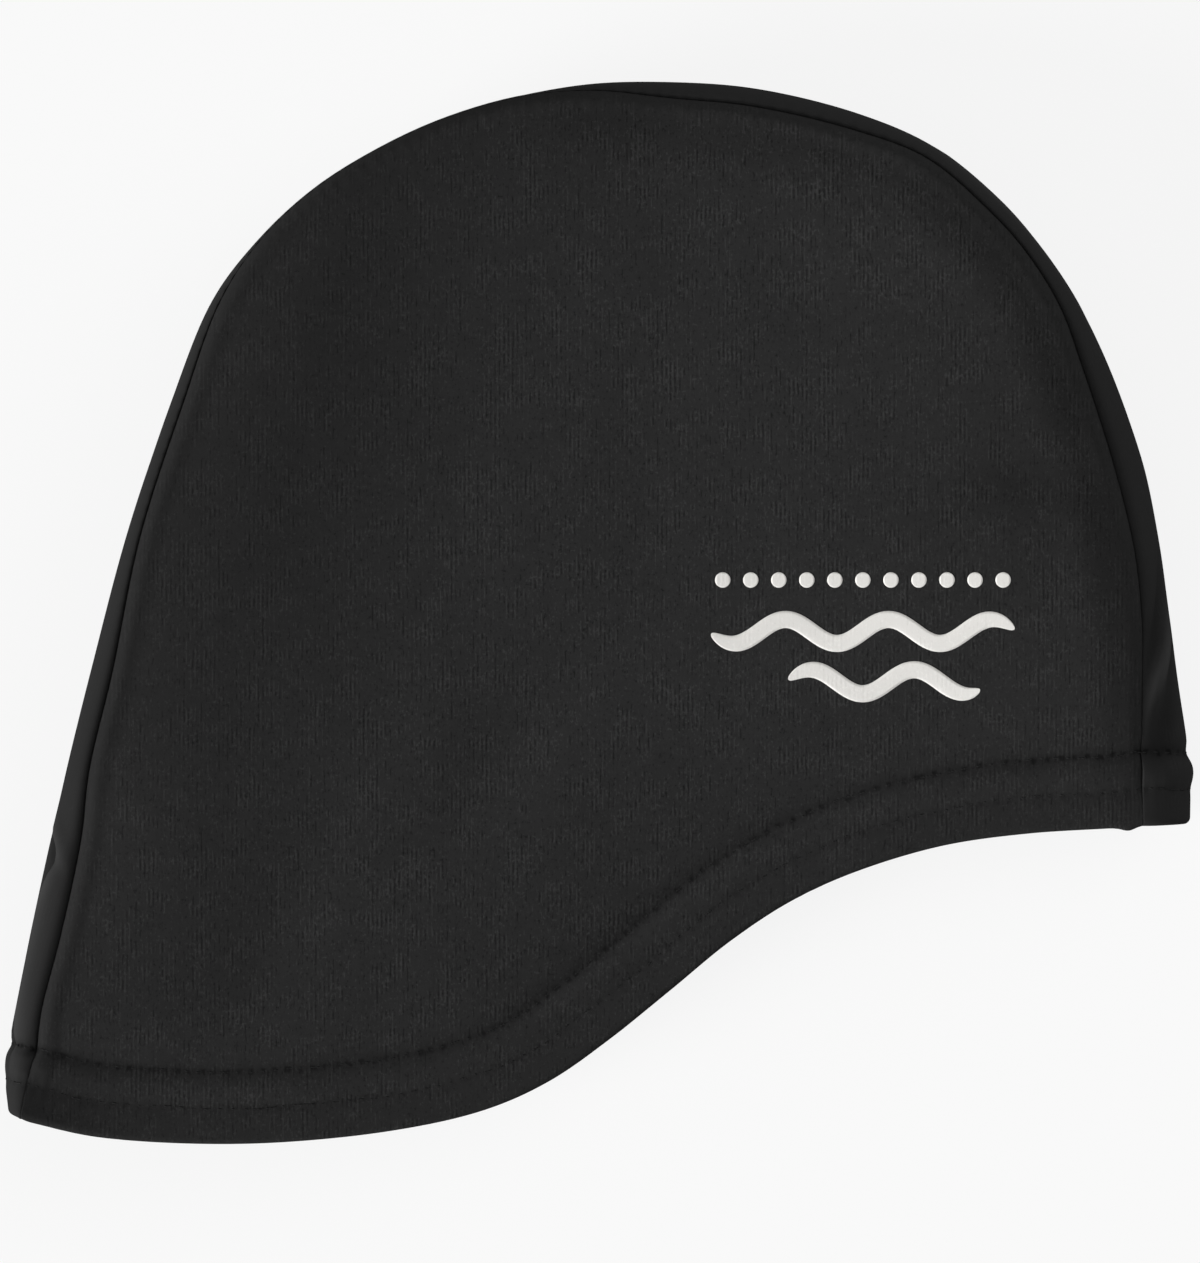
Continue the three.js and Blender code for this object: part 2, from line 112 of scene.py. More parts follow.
def smooth_line(points, samples=160):
    """A smooth line through the points, as close samples and their distances along it."""
    points = np.asarray(points, float)
    ends = np.vstack([2 * points[0] - points[1], points, 2 * points[-1] - points[-2]])
    t = np.linspace(0, 1, samples, endpoint=False)[:, None]
    pieces = []
    for before, start, end, after in zip(ends, ends[1:], ends[2:], ends[3:]):
        pairs = ((before, start), (start, end), (end, after))
        a, b, c = (np.linalg.norm(q - p) ** 0.5 for p, q in pairs)
        leave = ((start - before) / a - (end - before) / (a + b) + (end - start) / b) * b
        arrive = ((end - start) / b - (after - start) / (b + c) + (after - end) / c) * b
        square = 3 * (end - start) - 2 * leave - arrive
        cube = 2 * (start - end) + leave + arrive
        pieces.append(start + leave * t + square * t**2 + cube * t**3)
    line = np.vstack(pieces + [points[-1:]])
    steps = np.linalg.norm(np.diff(line, axis=0), axis=1)
    return line, np.concatenate([[0], np.cumsum(steps)])


def along(line, reach, distances):
    """The line's values at these distances along it."""
    return np.stack([np.interp(distances, reach, column) for column in line.T], axis=-1)


def unit(vectors):
    """The same directions at length one."""
    return vectors / np.maximum(np.linalg.norm(vectors, axis=-1, keepdims=True), 1e-12)


def bank(share):
    """Rises from 0 at an edge to 1 at the end of a roll, and is level there."""
    return 1 - (1 - np.clip(share, 0, 1)) ** 2


def hump(distance, width):
    """1 at a distance of 0, and falls off smoothly on either side."""
    return np.exp(-((distance / width) ** 2))


def quarter(a, b):
    """Length of a quarter of an ellipse."""
    return math.pi / 4 * (3 * (a + b) - np.sqrt((3 * a + b) * (a + 3 * b)))


def tuck_for(show):
    """How far the lower seam lies inside the upper one."""
    return STRIP_TUCK * (1 - show / STRIP_SHOW)


def standing_height(show):
    """Height between the two seams that lets the strip keep its width."""
    low, high = np.zeros_like(show), np.full_like(show, STRIP_WIDTH)
    for _ in range(40):
        half = (low + high) / 4
        narrow = quarter(show, half) + quarter(show + tuck_for(show), half) < STRIP_WIDTH
        low, high = np.where(narrow, 2 * half, low), np.where(narrow, high, 2 * half)
    return low


seam_line, seam_reach = smooth_line(np.array(SEAM_TABLE) * (CAP_LENGTH, CAP_HEIGHT, STRIP_SHOW))
seam_length = seam_reach[-1]
seam_heading = unit(np.gradient(seam_line[:, :2], axis=0))


def stations(distances):
    """The two seams at these distances from the forehead, and which way is outwards there."""
    place = along(seam_line, seam_reach, distances)
    heading = along(seam_heading, seam_reach, distances)
    show = np.maximum(place[..., 2], 0)
    outward = np.stack([heading[..., 1], -heading[..., 0], 0 * show], axis=-1)
    upper = np.stack([place[..., 0], place[..., 1], SEAM_LIFT + standing_height(show)], axis=-1)
    lower = np.stack([place[..., 0], place[..., 1], 0 * show + SEAM_LIFT], axis=-1)
    lower = lower - outward * tuck_for(show)[..., None]
    return {
        "at": np.asarray(distances), "show": show, "outward": outward,
        "upper": upper + CAP_SHIFT, "lower": lower + CAP_SHIFT,
        "upper_face": unit(outward * UPPER_LEAN + (0, 0, 1)),
        "lower_face": unit(outward * LOWER_LEAN - (0, 0, 1)),
    }


fold_at = CLOTH * (1 - np.cos(np.linspace(0, math.pi / 2, 8)))
hem_at = np.concatenate([
    fold_at[:-1], np.linspace(CLOTH, LOWER_STITCH, 12)[:-1],
    np.linspace(LOWER_STITCH, HEM_DEPTH, 14)[:-1], np.linspace(HEM_DEPTH, HEM_END, 4)])
HEM_ROWS = len(hem_at)
fine_steps = np.arange(FINE_COUNT) * SEAM_FINE
side_length = (FRONT_SHOULDER + 1 - BACK_SHOULDER) / 2 * seam_length - HEM_END
body_share = np.concatenate([
    np.linspace(0, 1 - FINE_BAND / side_length, BODY_ROWS)[1:], 1 - fine_steps[::-1] / side_length])
top_count = int((BACK_SHOULDER - FRONT_SHOULDER) * seam_length / TOP_STEP)


def seam_side(shoulder, end):
    """Stations up the seam, from one of its ends at the opening to a shoulder of the panels."""
    hem_stop = abs(end - HEM_END)
    body = hem_stop + (shoulder * seam_length - hem_stop) * body_share
    return stations(np.concatenate([np.abs(end - hem_at), body]))


def fold_depth(turn, length, width, depth, dx, dy):
    """Depth of one soft fold at a distance (dx, dy) from its centre."""
    turn = math.radians(turn)
    run = (dx * math.cos(turn) + dy * math.sin(turn)) / length
    side = (dy * math.cos(turn) - dx * math.sin(turn)) / width
    return depth * np.exp(-run**2 - side**2)


def hem_relief(to_edge, run):
    """How far the hem's outer face stands out: rounded at the fold, pulled in at the stitches."""
    left = CLOTH - np.minimum(to_edge, CLOTH)
    relief = np.sqrt(np.maximum(CLOTH**2 - left**2, 0)) - CLOTH
    pucker = np.sin(2 * math.pi * run / STITCH_PITCH + 1.9 * np.sin(run / 0.0043))
    pucker = pucker * (1 + 0.6 * np.sin(run / 0.0059))
    for row, sink, width in STITCH_CHANNELS:
        relief = relief - sink * hump(to_edge - row, width)
        relief = relief + PUCKER_HEIGHT * pucker * hump(to_edge - row, PUCKER_WIDTH)
    return relief + HEM_SWELL * hump(to_edge - HEM_DEPTH + STITCH_GAUGE / 2, SWELL_WIDTH)


def hem_wall(to_edge):
    """Thickness of the cloth: two layers in the hem, which join at the fold."""
    left = CLOTH - np.minimum(to_edge, CLOTH)
    wall = 2 * np.sqrt(np.maximum(CLOTH**2 - left**2, 0))
    for row, sink, width in STITCH_CHANNELS:
        wall = wall - 1.6 * sink * hump(to_edge - row, width)
    return np.where(to_edge < HEM_DEPTH + CLOTH / 3, wall, CLOTH)


def above_hem(to_edge):
    """Near 0 where the hem's two layers hold the seam flat, and 1 above them."""
    free = HEM_HOLD + (1 - HEM_HOLD) * bank((to_edge - LOWER_STITCH) / (HEM_END - LOWER_STITCH))
    return free * bank(to_edge / CLOTH)


def seam_pull(seam_at, unevenness):
    """How hard the seam draws the cloth in: less at the forehead, and in a wave, stitch by stitch."""
    wave = np.sin(2 * math.pi * seam_at / SCALLOP_PITCH + 1.6 * np.sin(seam_at / 0.0067))
    return np.interp(seam_at / seam_length, *EASY_SEAM) * (1 + unevenness * wave)


def grid_faces(rows, columns, offset=0):
    """Quads between the points of a grid."""
    j, i = np.meshgrid(np.arange(rows - 1), np.arange(columns - 1), indexing="ij")
    a = (j * columns + i + offset).ravel()
    return np.stack([a, a + 1, a + columns + 1, a + columns], axis=1)


def grid_normals(points):
    """Normals of a grid of points."""
    run = np.gradient(points, axis=1)
    rise = np.gradient(points, axis=0)
    return unit(np.cross(unit(run), unit(rise)))


def turn_towards(normals, shared, to_seam):
    """Turns a piece's normals towards the seam's own beside the seam, so that both walls meet."""
    weight = (1 - bank(to_seam / FACE_TURN))[..., None]
    return unit(normals * (1 - weight) + shared * weight)


def closed_cloth(name, outer, inner, folded, edges, runs, ridges=None):
    """A piece of cloth as one closed mesh. Its two faces meet in the folded rows and columns, and a
    narrow wall closes its other edges. It keeps its distances to and along its edges as UV maps, and
    how far its creases stand out as an attribute."""
    rows, columns = outer.shape[:2]
    count = rows * columns
    numbers = np.arange(count).reshape(rows, columns)
    ring = np.concatenate([numbers[0, :-1], numbers[:-1, -1], numbers[-1, :0:-1], numbers[:0:-1, 0]])
    after = np.roll(ring, -1)
    walls = np.stack([after, ring, ring + count, after + count], axis=1)
    inside = grid_faces(rows, columns, count)[:, ::-1]
    faces = np.concatenate([grid_faces(rows, columns), inside, walls])
    weld = np.arange(2 * count)
    for line in folded:
        weld[numbers[line] + count] = numbers[line]
    faces = weld[faces]
    kept, packed = np.unique(faces, return_inverse=True)
    packed = packed.reshape(faces.shape)
    corners = [[v for n, v in enumerate(face) if v != face[n - 1]] for face in packed.tolist()]
    vertices = np.concatenate([outer.reshape(-1, 3), inner.reshape(-1, 3)])[kept]
    mesh = bpy.data.meshes.new(name)
    mesh.from_pydata(vertices.tolist(), [], [face for face in corners if len(set(face)) > 2])
    mesh.shade_smooth()
    loops = np.empty(len(mesh.loops), np.int32)
    mesh.loops.foreach_get("vertex_index", loops)
    for map_name, pair in (("Edges", edges), ("Runs", runs)):
        values = np.tile(np.stack(np.broadcast_arrays(*pair), axis=-1).reshape(-1, 2), (2, 1))
        layer = mesh.uv_layers.new(name=map_name)
        layer.data.foreach_set("uv", values[kept][loops].astype(np.float32).ravel())
    if ridges is not None:
        values = np.tile(ridges.ravel(), 2)[kept]
        mesh.attributes.new("ridges", "FLOAT", "POINT").data.foreach_set("value", values)
    return mesh


def piece_from(name, mesh):
    """An object for a finished mesh, which rides with the cap."""
    piece = bpy.data.objects.new(name, mesh)
    bpy.context.scene.collection.objects.link(piece)
    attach(piece, "root")
    return piece


front_side = seam_side(FRONT_SHOULDER, 0)
back_side = seam_side(BACK_SHOULDER, seam_length)
top_side = stations(np.linspace(FRONT_SHOULDER, BACK_SHOULDER, top_count) * seam_length)
strip_at = np.concatenate([front_side["at"], top_side["at"][1:-1], back_side["at"][::-1]])
strip_seams = stations(strip_at)
middle_steps = int((STRIP_WIDTH - 2 * FINE_BAND) / STRIP_STEP)
across = np.concatenate([
    fine_steps, np.linspace(FINE_BAND, STRIP_WIDTH - FINE_BAND, middle_steps),
    STRIP_WIDTH - fine_steps[::-1]])
strip_edge = np.minimum(strip_at, seam_length - strip_at)[None, :]
strip_to_seam = np.minimum(across, STRIP_WIDTH - across)[:, None]


def strip_section(show, height):
    """The strip's section from the lower seam to the upper one, in distances outwards and up. It is
    two quarters of ellipses."""
    angle = np.linspace(-math.pi / 2, math.pi / 2, 161)
    tucked = np.where(angle < 0, tuck_for(show), 0)
    out = (show + tucked) * np.cos(angle) - tucked
    up = height / 2 * (1 + np.sin(angle))
    reach = np.concatenate([[0], np.cumsum(np.hypot(np.diff(out), np.diff(up)))])
    place = across / STRIP_WIDTH * reach[-1]
    return np.interp(place, reach, out), np.interp(place, reach, up)


strip_height = strip_seams["upper"][:, 2] - strip_seams["lower"][:, 2]
sections = np.array([strip_section(*pair) for pair in zip(strip_seams["show"], strip_height)])
strip_points = strip_seams["upper"][None] + strip_seams["outward"][None] * sections[:, 0].T[..., None]
strip_points[..., 2] = SEAM_LIFT + sections[:, 1].T
width_share = (across / STRIP_WIDTH)[:, None]
strip_lean = grid_normals(strip_points)
strip_ridges = np.zeros(strip_points.shape[:2])
for share, place, *crease in STRIP_CREASES:
    dx = strip_at[None, :] - share * seam_length
    dy = (width_share - place) * STRIP_WIDTH
    free = bank(abs(width_share - 0.5) / CREASE_FADE[0]) * bank(strip_to_seam / CREASE_FADE[1])
    strip_ridges = strip_ridges - free * fold_depth(*crease, dx, dy)
strip_points = strip_points + strip_lean * strip_ridges[..., None]
past = ((strip_points - strip_seams["upper"]) * strip_seams["outward"]).sum(-1) - strip_seams["show"]
strip_points = strip_points - strip_seams["outward"] * np.maximum(past, 0)[..., None]
strip_points[-1] += strip_seams["outward"] * SEAM_GAP / 2
strip_points[0] += strip_seams["outward"] * SEAM_GAP / 2
strip_normals = grid_normals(strip_points)
strip_normals = turn_towards(
    strip_normals, strip_seams["upper_face"][None], STRIP_WIDTH - across[:, None] + 0 * strip_edge)
strip_normals = turn_towards(
    strip_normals, strip_seams["lower_face"][None], across[:, None] + 0 * strip_edge)
strip_relief = hem_relief(strip_edge, across[:, None])
groove = GROOVE_DEPTH * above_hem(strip_edge) * seam_pull(strip_at, 0.2)
strip_relief = strip_relief - groove * np.exp(-strip_to_seam / GROOVE_WIDTH)
strip_relief = strip_relief + FRONT_BULGE[0] * hump(strip_at - FRONT_BULGE[1], FRONT_BULGE[2])
strip_outer = strip_points + strip_normals * strip_relief[..., None]
strip_inner = strip_outer - strip_normals * (hem_wall(strip_edge) + 0 * strip_relief)[..., None]
strip_mesh = closed_cloth(
    "centre_strip_cloth", strip_outer, strip_inner, [np.s_[:, 0], np.s_[:, -1]],
    (strip_to_seam, strip_edge), (strip_at[None, :], across[:, None]), strip_ridges)
strip = piece_from("centre_strip_cloth", strip_mesh)


def add_nodes(tree, nodes):
    """Adds nodes, each as name: (type, settings, inputs). An input is a value, or another node's name
    and output as a pair, which is linked."""
    made = {}
    for name, (kind, settings, inputs) in nodes.items():
        made[name] = tree.nodes.new(kind)
        made[name].label = name
        for key, value in settings.items():
            setattr(made[name], key, value)
    for name, (kind, settings, inputs) in nodes.items():
        for key, value in inputs.items():
            if isinstance(value, tuple) and isinstance(value[0], str):
                tree.links.new(made[value[0]].outputs[value[1]], made[name].inputs[key])
            else:
                made[name].inputs[key].default_value = value


def pairs(values):
    """Numbers the inputs that are given. A name alone stands for that node's first output."""
    return {n: (value, 0) if isinstance(value, str) else value
            for n, value in enumerate(values) if value is not None}


def math_step(operation, *inputs, clamp=False):
    """One step of arithmetic, for add_nodes."""
    return "ShaderNodeMath", {"operation": operation, "use_clamp": clamp}, pairs(inputs)


def soft_range(source, start, end, low=0.0, high=1.0):
    """A node for add_nodes that leads smoothly from low, at start, to high, at end."""
    return "ShaderNodeMapRange", {"interpolation_type": "SMOOTHSTEP"}, pairs((source, start, end, low, high))


def tint(share, first, second):
    """A node for add_nodes that mixes two colours. Its colour is output 2."""
    return "ShaderNodeMix", {"data_type": "RGBA"}, {0: share, 6: first, 7: second}


def grey(level):
    """A neutral colour."""
    return (level, level, level, 1)


def node_group(name, kind, inputs, outputs):
    """An empty node group with these inputs, each as name: (kind, starting value), and outputs. Also
    gives the identifier of each input."""
    tree = bpy.data.node_groups.new(name, kind)
    identifiers = {}
    for label, (socket_kind, value) in inputs.items():
        socket = tree.interface.new_socket(
            name=label, in_out="INPUT", socket_type="NodeSocket" + socket_kind)
        if value is not None:
            socket.default_value = value
        identifiers[label] = socket.identifier
    for label, socket_kind in outputs.items():
        tree.interface.new_socket(name=label, in_out="OUTPUT", socket_type="NodeSocket" + socket_kind)
    return tree, identifiers


def new_material(name, nodes):
    """A material made of these nodes."""
    material = bpy.data.materials.new(name)
    material.use_nodes = True
    material.node_tree.nodes.clear()
    add_nodes(material.node_tree, nodes)
    return material


def knit_group():
    """Stretch knit: fine ribs a wale apart, of which short stretches show here and there, and the
    small specks and pits of its loops."""
    tree, _ = node_group(
        "stretch knit", "ShaderNodeTree",
        {"Place": ("Vector", None), "Ribs": ("Float", 410.0), "Strength": ("Float", 1.0)},
        {"Height": "Float", "Tone": "Float"})
    place = ("in", "Place")
    cloud = "ShaderNodeTexNoise"
    vector = "ShaderNodeVectorMath"
    plain_tone = 0.45
    add_nodes(tree, {
        "in": ("NodeGroupInput", {}, {}),
        "ribs": ("ShaderNodeTexWave", {"wave_type": "BANDS", "bands_direction": "X"}, {
            "Vector": place, "Scale": ("in", "Ribs"),
            "Distortion": 1.3, "Detail": 1.0, "Detail Scale": 0.8}),
        "furrow": soft_range(("ribs", "Fac"), 0.64, 0.94),
        "crest": soft_range(("ribs", "Fac"), 0.36, 0.06),
        "stretch": (vector, {"operation": "MULTIPLY"}, {0: place, 1: (1307, 540, 540)}),
        "beside": (vector, {"operation": "ADD"}, {0: ("stretch", 0), 1: (37.1, 91.7, 11.3)}),
        "furrow stretches": (cloud, {}, {"Vector": ("stretch", 0), "Scale": 1.0, "Detail": 2.0}),
        "crest stretches": (cloud, {}, {"Vector": ("beside", 0), "Scale": 1.0, "Detail": 2.0}),
        "patches": (cloud, {}, {"Vector": place, "Scale": 210.0, "Detail": 2.0}),
        "furrow sum": math_step("MULTIPLY_ADD", "patches", 0.6, "furrow stretches"),
        "crest sum": math_step("MULTIPLY_ADD", "patches", 0.6, "crest stretches"),
        "furrow shown": soft_range("furrow sum", 0.82, 0.95),
        "crest shown": soft_range("crest sum", 0.81, 0.94),
        "furrows": math_step("MULTIPLY", "furrow", "furrow shown"),
        "crests": math_step("MULTIPLY", "crest", "crest shown"),
        "loop size": (vector, {"operation": "MULTIPLY"}, {0: place, 1: (2300, 1700, 1700)}),
        "loops": (cloud, {}, {
            "Vector": ("loop size", 0), "Scale": 1.0, "Detail": 2.0, "Roughness": 0.6}),
        "loop sum": math_step("MULTIPLY_ADD", "patches", 0.25, "loops"),
        "specks": soft_range("loop sum", 0.70, 0.83),
        "pits": soft_range("loops", 0.42, 0.28),
        "mottle": (cloud, {}, {"Vector": place, "Scale": 380.0, "Detail": 3.0, "Roughness": 0.7}),
        "less furrows": math_step("MULTIPLY_ADD", "furrows", -0.34, 0.31),
        "and crests": math_step("MULTIPLY_ADD", "crests", 0.38, "less furrows"),
        "and specks": math_step("MULTIPLY_ADD", "specks", 0.60, "and crests"),
        "less pits": math_step("MULTIPLY_ADD", "pits", -0.40, "and specks"),
        "and mottle": math_step("MULTIPLY_ADD", "mottle", 0.30, "less pits"),
        "off plain": math_step("SUBTRACT", "and mottle", plain_tone),
        "tone": math_step("MULTIPLY_ADD", "off plain", ("in", "Strength"), plain_tone),
        "rib height": math_step("MULTIPLY_ADD", ("ribs", "Fac"), -0.10, 0.50),
        "furrow depth": math_step("MULTIPLY_ADD", "furrows", -0.50, "rib height"),
        "crest height": math_step("MULTIPLY_ADD", "crests", 0.40, "furrow depth"),
        "loop height": math_step("MULTIPLY_ADD", "loops", 0.35, "crest height"),
        "height": math_step("MULTIPLY", "loop height", ("in", "Strength")),
        "out": ("NodeGroupOutput", {}, {"Tone": ("tone", 0), "Height": ("height", 0)}),
    })
    return tree


def seam_group():
    """Shade where the cloth is sewn: needle holes, the two stitched valleys in the hem, and the
    groove beside a seam. Strength is how much of the knit shows, less where the cloth is drawn."""
    tree, _ = node_group(
        "sewn edges", "ShaderNodeTree",
        {"Edges": ("Vector", None), "Runs": ("Vector", None), "Lower row": ("Float", LOWER_STITCH),
         "Upper row": ("Float", HEM_DEPTH), "Pitch": ("Float", STITCH_PITCH),
         "Groove reach": ("Float", 0.002)},
        {"Holes": "Float", "Groove": "Float", "Shade": "Float", "Strength": "Float"})
    rows = {}
    for row, reach, hole in (("Lower row", 0.0016, 0.5), ("Upper row", 0.0020, 1.0)):
        rows[row + " off"] = math_step("SUBTRACT", "wandering", ("in", row))
        rows[row + " away"] = math_step("ABSOLUTE", row + " off")
        rows[row + " mark"] = soft_range(row + " away", 0.0002, 0.0008, hole, 0.0)
        rows[row + " valley"] = soft_range(row + " away", 0.0, reach, 0.22 * hole, 0.0)
    to_seam, to_edge = ("edges", "X"), ("edges", "Y")
    add_nodes(tree, {
        "in": ("NodeGroupInput", {}, {}),
        "edges": ("ShaderNodeSeparateXYZ", {}, {0: ("in", "Edges")}),
        "runs": ("ShaderNodeSeparateXYZ", {}, {0: ("in", "Runs")}),
        "wander": ("ShaderNodeTexNoise", {}, {"Vector": ("in", "Runs"), "Scale": 330.0, "Detail": 1.0}),
        "centred": math_step("MULTIPLY_ADD", "wander", 0.0009, -0.00045),
        "wandering": math_step("ADD", "centred", to_edge),
        **rows,
        "marks": math_step("MAXIMUM", "Lower row mark", "Upper row mark"),
        "turns": math_step("DIVIDE", ("runs", "Y"), ("in", "Pitch")),
        "angle": math_step("MULTIPLY", "turns", 2 * math.pi),
        "beat": math_step("COSINE", "angle"),
        "uneven": ("ShaderNodeTexNoise", {}, {
            "Vector": ("in", "Runs"), "Scale": 620.0, "Detail": 2.0, "Roughness": 0.6}),
        "dash sum": math_step("MULTIPLY_ADD", "beat", 0.12, "uneven"),
        "dash": soft_range("dash sum", 0.46, 0.68),
        "holes": math_step("MULTIPLY", "marks", "dash"),
        "above": soft_range("Upper row off", 0.0, 0.0046, 0.12, 0.0),
        "above start": soft_range("Upper row off", -0.0009, 0.0002),
        "above only": math_step("MULTIPLY", "above", "above start"),
        "below": soft_range("Lower row off", -0.0014, 0.0002, 0.09, 0.0),
        "valleys": math_step("ADD", "Lower row valley", "Upper row valley"),
        "and above": math_step("ADD", "valleys", "above only"),
        "and below": math_step("ADD", "and above", "below"),
        "groove": soft_range(to_seam, 0.0, ("in", "Groove reach"), 1.0, 0.0),
        "held": soft_range(to_edge, 0.0095, 0.0140, 0.25, 1.0),
        "held groove": math_step("MULTIPLY", "groove", "held"),
        "hem calm": soft_range(to_edge, 0.0118, 0.0165, 0.85, 1.0),
        "seam calm": soft_range(to_seam, 0.0010, 0.0060, 0.45, 1.0),
        "calm": math_step("MULTIPLY", "hem calm", "seam calm"),
        "out": ("NodeGroupOutput", {}, {
            "Holes": ("holes", 0), "Groove": ("held groove", 0), "Shade": ("and below", 0),
            "Strength": ("calm", 0)}),
    })
    return tree


knit = knit_group()
sewn_edges = seam_group()


def cloth_material(name, dark, light, place, turn, groove, knit_height):
    """Matt black knit. dark and light are its two tones, place and turn say where its ribs are read
    and which way they run, and groove is the reach and the depth of the shade beside its seams.
    Shade is painted into it towards the nape and the temple, with a painted highlight on the crests of its
    creases and painted shade in their hollows."""
    kind, settings, output = place
    vector = "ShaderNodeVectorMath"
    whole = ("whole", "Object")
    return new_material(name, {
        "place": (kind, settings, {}),
        "turned": ("ShaderNodeMapping", {}, {"Vector": ("place", output), "Rotation": (0, 0, turn)}),
        "whole": ("ShaderNodeTexCoord", {}, {}),
        "edges": ("ShaderNodeUVMap", {"uv_map": "Edges"}, {}),
        "runs": ("ShaderNodeUVMap", {"uv_map": "Runs"}, {}),
        "sewn": ("ShaderNodeGroup", {"node_tree": sewn_edges}, {
            "Edges": ("edges", 0), "Runs": ("runs", 0), "Groove reach": groove[0]}),
        "knit": ("ShaderNodeGroup", {"node_tree": knit}, {
            "Place": ("turned", 0), "Strength": ("sewn", "Strength")}),
        "cloth": tint(("knit", "Tone"), grey(dark), grey(light)),
        # A painted highlight on the crests of the creases and painted shade in their hollows, read from how
        # far each stands out.
        "ridges": ("ShaderNodeAttribute", {"attribute_name": "ridges"}, {}),
        "crest highlight share": math_step("MULTIPLY", ("ridges", "Fac"), 950.0, clamp=True),
        "painted crest highlight": tint(("crest highlight share", 0), ("cloth", 2), grey(0.052)),
        "slack": math_step("MULTIPLY", ("ridges", "Fac"), -380.0, clamp=True),
        # Painted shade: the colour is darkened towards the nape and towards the temple.
        "towards nape": (vector, {"operation": "DOT_PRODUCT"}, {0: whole, 1: (-0.95, 0.45, 0)}),
        "nape": ("ShaderNodeMapRange", {}, pairs((("towards nape", "Value"), 0.028, 0.075, 0.0, 0.42))),
        "towards temple": (vector, {"operation": "DOT_PRODUCT"}, {0: whole, 1: (1.0, -0.2, 0)}),
        "temple": ("ShaderNodeMapRange", {}, pairs(
            (("towards temple", "Value"), 0.030, 0.070, 0.0, 0.19))),
        "painted nape and temple shade": math_step("ADD", "nape", "temple"),
        "and hem": math_step("ADD", "painted nape and temple shade", ("sewn", "Shade")),
        "and slack": math_step("ADD", "and hem", "slack"),
        "and holes": math_step("MULTIPLY_ADD", ("sewn", "Holes"), 0.42, "and slack"),
        "and groove": math_step(
            "MULTIPLY_ADD", ("sewn", "Groove"), groove[1], "and holes", clamp=True),
        "shaded": tint(("and groove", 0), ("painted crest highlight", 2), grey(0.002)),
        "knit bump": ("ShaderNodeBump", {}, {
            "Strength": 0.6, "Distance": knit_height, "Height": ("knit", "Height")}),
        "hole bump": ("ShaderNodeBump", {"invert": True}, {
            "Strength": 0.35, "Distance": 0.0002, "Height": ("sewn", "Holes"),
            "Normal": ("knit bump", 0)}),
        "shader": ("ShaderNodeBsdfPrincipled", {}, {
            "Base Color": ("shaded", 2), "Normal": ("hole bump", 0), "Roughness": 0.85,
            "Specular IOR Level": 0.1, "Sheen Weight": 0.02, "Sheen Roughness": 0.6}),
        "out": ("ShaderNodeOutputMaterial", {}, {"Surface": ("shader", 0)}),
    })


strip_knit = cloth_material(
    "strip knit", 0.0170, 0.0250,
    ("ShaderNodeUVMap", {"uv_map": "Runs"}, 0), math.pi / 2, (0.0026, 0.12), 0.00002)
strip_mesh.materials.append(strip_knit)
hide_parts("centre_strip")

# The side panels. Each is one piece of the same knit, cut so that its ribs run up the cap. The
# right one swells over the empty crown and the left one lies flat on the floor. Their lower edges
# are folded inwards once and held by two parallel rows of stitches.
HEM_BEND = 0.22  # share of the rim over which the hem bends to meet its seam
MOUTH_SAG = 0.34  # how far the upper rim sags in its middle, as a share of its height
CROWN_RISE = 0.0042
ROLL_FRONT, ROLL_TOP, ROLL_BACK, ROLL_RIM = 0.011, 0.014, 0.022, 0.052
LIFT_REACH = 0.009  # beside the lower seam, where the left panel leaves the floor
RIM_INSET = 0.002  # how far the left panel's rim lies inside the right one's
ALLOWANCE_BUMP = 0.0006, 0.0028, 0.0016  # the seam's allowance in the fold: height, place, width
EDGE_ROLL = 0.0006, 0.0020, 0.0016  # height, distance from the seam, width
EDGE_DROP = 0.0012, 0.0009  # depth at the seam, reach
DRAPE = 0.0005
RIM_TABLE = (  # shares of length and height, from back to front
    (-0.420, -0.492), (-0.293, -0.499), (-0.167, -0.486), (-0.091, -0.466), (-0.040, -0.440),
    (0.010, -0.401), (0.061, -0.355), (0.111, -0.309), (0.162, -0.271), (0.212, -0.245),
    (0.288, -0.2188), (0.364, -0.2065), (0.431, -0.2015),
)
PANEL_FOLDS = (  # x and y shares, turn in degrees, length, width and depth
    (0.385, 0.133, 8, 0.013, 0.005, 0.0015),
    (-0.087, -0.141, 45, 0.022, 0.008, 0.0015),
    (-0.255, -0.270, 62, 0.026, 0.009, 0.0010),
    (0.250, -0.105, 28, 0.024, 0.008, 0.0009),
)
seam_ends = stations(np.array([0, seam_length]))
rim_line, rim_reach = smooth_line([
    seam_ends["upper"][1, :2], *(np.array(RIM_TABLE) * (CAP_LENGTH, CAP_HEIGHT) + CAP_SHIFT[:2]),
    seam_ends["upper"][0, :2]])
rim_length = rim_reach[-1]
middle_columns = top_count - 2 * len(fine_steps)
column_at = np.concatenate([
    fine_steps, np.linspace(FINE_BAND, rim_length - FINE_BAND, middle_columns),
    rim_length - fine_steps[::-1]])
column_share = column_at / rim_length
top_seams = stations((BACK_SHOULDER + (FRONT_SHOULDER - BACK_SHOULDER) * column_share) * seam_length)
SIDES = {"back": back_side, "front": front_side, "top": top_seams}


def inward_from(rim):
    """Directions into the cap in plan, square to the rim."""
    heading = unit(np.gradient(rim[:, :2], column_at, axis=0))
    return np.stack([-heading[:, 1], heading[:, 0], 0 * column_at], axis=1)


